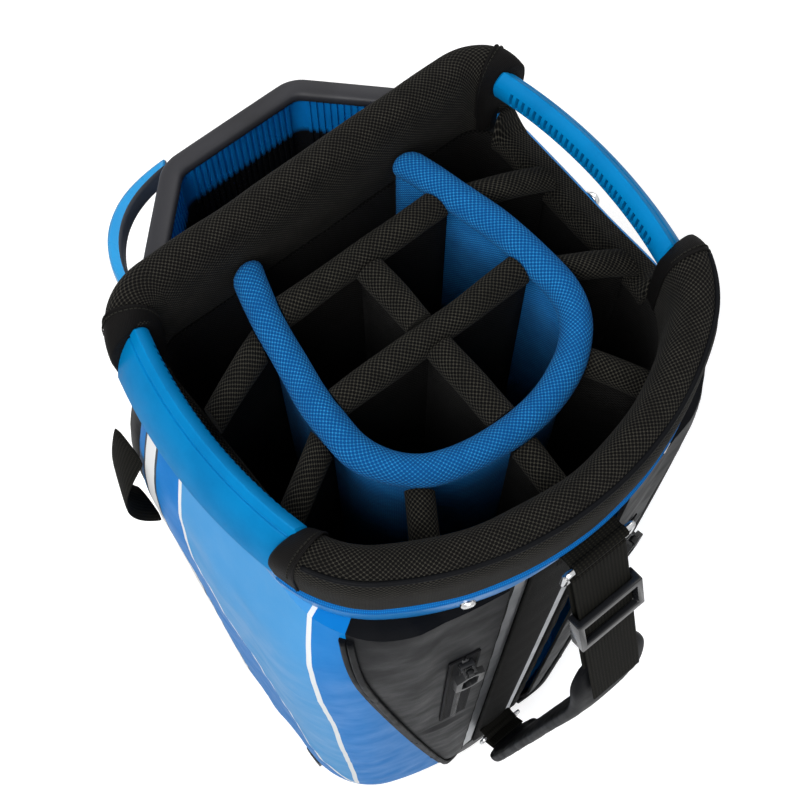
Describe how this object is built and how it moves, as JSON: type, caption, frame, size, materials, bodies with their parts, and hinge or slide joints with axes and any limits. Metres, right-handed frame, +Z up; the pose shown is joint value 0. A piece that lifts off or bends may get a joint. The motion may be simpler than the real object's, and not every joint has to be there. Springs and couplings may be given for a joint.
{
  "type": "golf cart bag",
  "caption": "Upright golf cart bag with a padded divided top, moulded side handles, outside putter well, zipped pockets and a ringed shoulder strap.",
  "frame": {"origin": "on the floor, on the flat underside of the base, under the middle of the club tube", "axes": "+Z up, +Y towards the putter well, -Y the spine with the shoulder strap, the handles at -X and +X"},
  "size_m": [0.3192, 0.4341, 0.9012],
  "materials": {
    "moulded_black": "satin",
    "lining": "matt",
    "mesh_black": "matt mesh",
    "mesh_blue": "matt mesh",
    "binding": "matt",
    "coated_blue": "semi-gloss coated cloth",
    "piping_blue": "knit",
    "moulded_blue": "satin",
    "moulded_grey": "satin",
    "gloss_blue": "gloss coated cloth",
    "coated_black": "semi-gloss coated cloth",
    "stay_metal": "mill",
    "webbing": "ribbed webbing",
    "slider_black": "satin",
    "nickel": "nickel plate"
  },
  "bodies": {
    "bag": {"ball_pocket": "coated_black", "base_tray": "moulded_black", "body_tube": "lining", "cuff_band": "coated_blue", "cuff_bindings": "binding", "cuff_frame": "moulded_black", "cuff_pad_front": "mesh_black", "cuff_pad_rear": "mesh_black", "cuff_piping": "piping_blue", "divider_centre_front": "mesh_black", "divider_centre_rear": "mesh_black", "divider_cross_front": "mesh_black", "divider_cross_rear": "mesh_black", "divider_ring_left_1": "mesh_black", "divider_ring_left_2": "mesh_black", "divider_ring_left_3": "mesh_black", "divider_ring_right_1": "mesh_black", "divider_ring_right_2": "mesh_black", "divider_ring_right_3": "mesh_black", "divider_ring_spine": "mesh_black", "divider_u_roll": "mesh_blue", "divider_u_sheet": "mesh_blue", "edge_pipings": "coated_black", "front_gusset_left": "coated_black", "front_gusset_right": "coated_black", "handle_left": "moulded_blue", "handle_right": "moulded_blue", "hood_studs": "nickel", "putter_collar": "moulded_grey", "putter_liner": "moulded_blue", "putter_sleeve": "lining", "rear_gusset_left": "coated_black", "rear_gusset_right": "coated_black", "side_panel_left": "gloss_blue", "side_panel_right": "gloss_blue", "spine_panel": "binding", "spine_stays": "stay_metal", "strap_keeper_lower": "webbing", "strap_keeper_upper": "webbing", "towel_loop": "coated_blue", "upper_pocket": "coated_black", "zip_tapes": "webbing"},
    "strap_ring_upper": {"strap_ring_upper": "nickel"},
    "strap": {"strap_webbing_upper": "webbing", "strap_pad": "coated_black", "strap_webbing_lower": "webbing"},
    "strap_ring_lower": {"strap_ring_lower": "nickel"},
    "strap_adjuster": {"strap_adjuster": "slider_black"},
    "zip_slider_left_low": {"zip_slider_left_low": "slider_black"},
    "zip_pull_left_low": {"zip_pull_left_low": "slider_black"},
    "zip_slider_right_low": {"zip_slider_right_low": "slider_black"},
    "zip_pull_right_low": {"zip_pull_right_low": "slider_black"},
    "zip_slider_left_rear": {"zip_slider_left_rear": "slider_black"},
    "zip_pull_left_rear": {"zip_pull_left_rear": "slider_black"},
    "zip_slider_right_rear": {"zip_slider_right_rear": "slider_black"},
    "zip_pull_right_rear": {"zip_pull_right_rear": "slider_black"},
    "zip_slider_upper": {"zip_slider_upper": "slider_black"},
    "zip_pull_upper": {"zip_pull_upper": "slider_black"},
    "zip_slider_ball": {"zip_slider_ball": "slider_black"},
    "zip_pull_ball": {"zip_pull_ball": "slider_black"}
  },
  "joints": [
    {"name": "strap_lift", "type": "hinge", "parent": "bag", "child": "strap_ring_upper", "pos_m": [0, -0.133, 0.838], "axis": [-1, 0, 0], "range_deg": [0, 100]},
    {"name": "strap_level", "type": "hinge", "parent": "strap_ring_upper", "child": "strap", "pos_m": [0, -0.133, 0.822], "axis": [-1, 0, 0], "range_deg": [-100, 0]},
    {"name": "lower_ring_swing", "type": "hinge", "parent": "bag", "child": "strap_ring_lower", "pos_m": [0, -0.125, 0.15], "axis": [-1, 0, 0], "range_deg": [0, 100]},
    {"name": "adjuster_slide", "type": "slide", "parent": "strap", "child": "strap_adjuster", "axis": [0, -0.2924, -0.9563], "range_m": [-0.028, 0.042]},
    {"name": "zip_left_low", "type": "slide", "parent": "bag", "child": "zip_slider_left_low", "axis": [0, 1, 0], "range_m": [0, 0.078]},
    {"name": "pull_left_low", "type": "hinge", "parent": "zip_slider_left_low", "child": "zip_pull_left_low", "pos_m": [-0.15694, -0.026, 0.10622], "axis": [0, 1, 0], "range_deg": [0, 150]},
    {"name": "zip_right_low", "type": "slide", "parent": "bag", "child": "zip_slider_right_low", "axis": [0, 1, 0], "range_m": [0, 0.078]},
    {"name": "pull_right_low", "type": "hinge", "parent": "zip_slider_right_low", "child": "zip_pull_right_low", "pos_m": [0.15694, -0.026, 0.10622], "axis": [0, -1, 0], "range_deg": [0, 150]},
    {"name": "zip_left_rear", "type": "slide", "parent": "bag", "child": "zip_slider_left_rear", "axis": [0, 0, 1], "range_m": [-0.208, 0]},
    {"name": "pull_left_rear", "type": "hinge", "parent": "zip_slider_left_rear", "child": "zip_pull_left_rear", "pos_m": [-0.06779, -0.12259, 0.672], "axis": [-0.979, 0.2039, 0], "range_deg": [0, 150]},
    {"name": "zip_right_rear", "type": "slide", "parent": "bag", "child": "zip_slider_right_rear", "axis": [0, 0, 1], "range_m": [-0.208, 0]},
    {"name": "pull_right_rear", "type": "hinge", "parent": "zip_slider_right_rear", "child": "zip_pull_right_rear", "pos_m": [0.06779, -0.12259, 0.672], "axis": [-0.979, -0.2039, 0], "range_deg": [0, 150]},
    {"name": "zip_upper", "type": "slide", "parent": "bag", "child": "zip_slider_upper", "axis": [-1, 0, 0], "range_m": [0, 0.066]},
    {"name": "pull_upper", "type": "hinge", "parent": "zip_slider_upper", "child": "zip_pull_upper", "pos_m": [0.033, 0.2308, 0.658], "axis": [1, 0, 0], "range_deg": [0, 150]},
    {"name": "zip_ball", "type": "slide", "parent": "bag", "child": "zip_slider_ball", "axis": [-1, 0, 0], "range_m": [0, 0.078]},
    {"name": "pull_ball", "type": "hinge", "parent": "zip_slider_ball", "child": "zip_pull_ball", "pos_m": [0.039, 0.2488, 0.408], "axis": [1, 0, 0], "range_deg": [0, 150]}
  ],
  "couplings": [
    {"joint": "strap_level", "follows": "strap_lift", "ratio": -1},
    {"joint": "lower_ring_swing", "follows": "strap_lift", "ratio": 1}
  ]
}
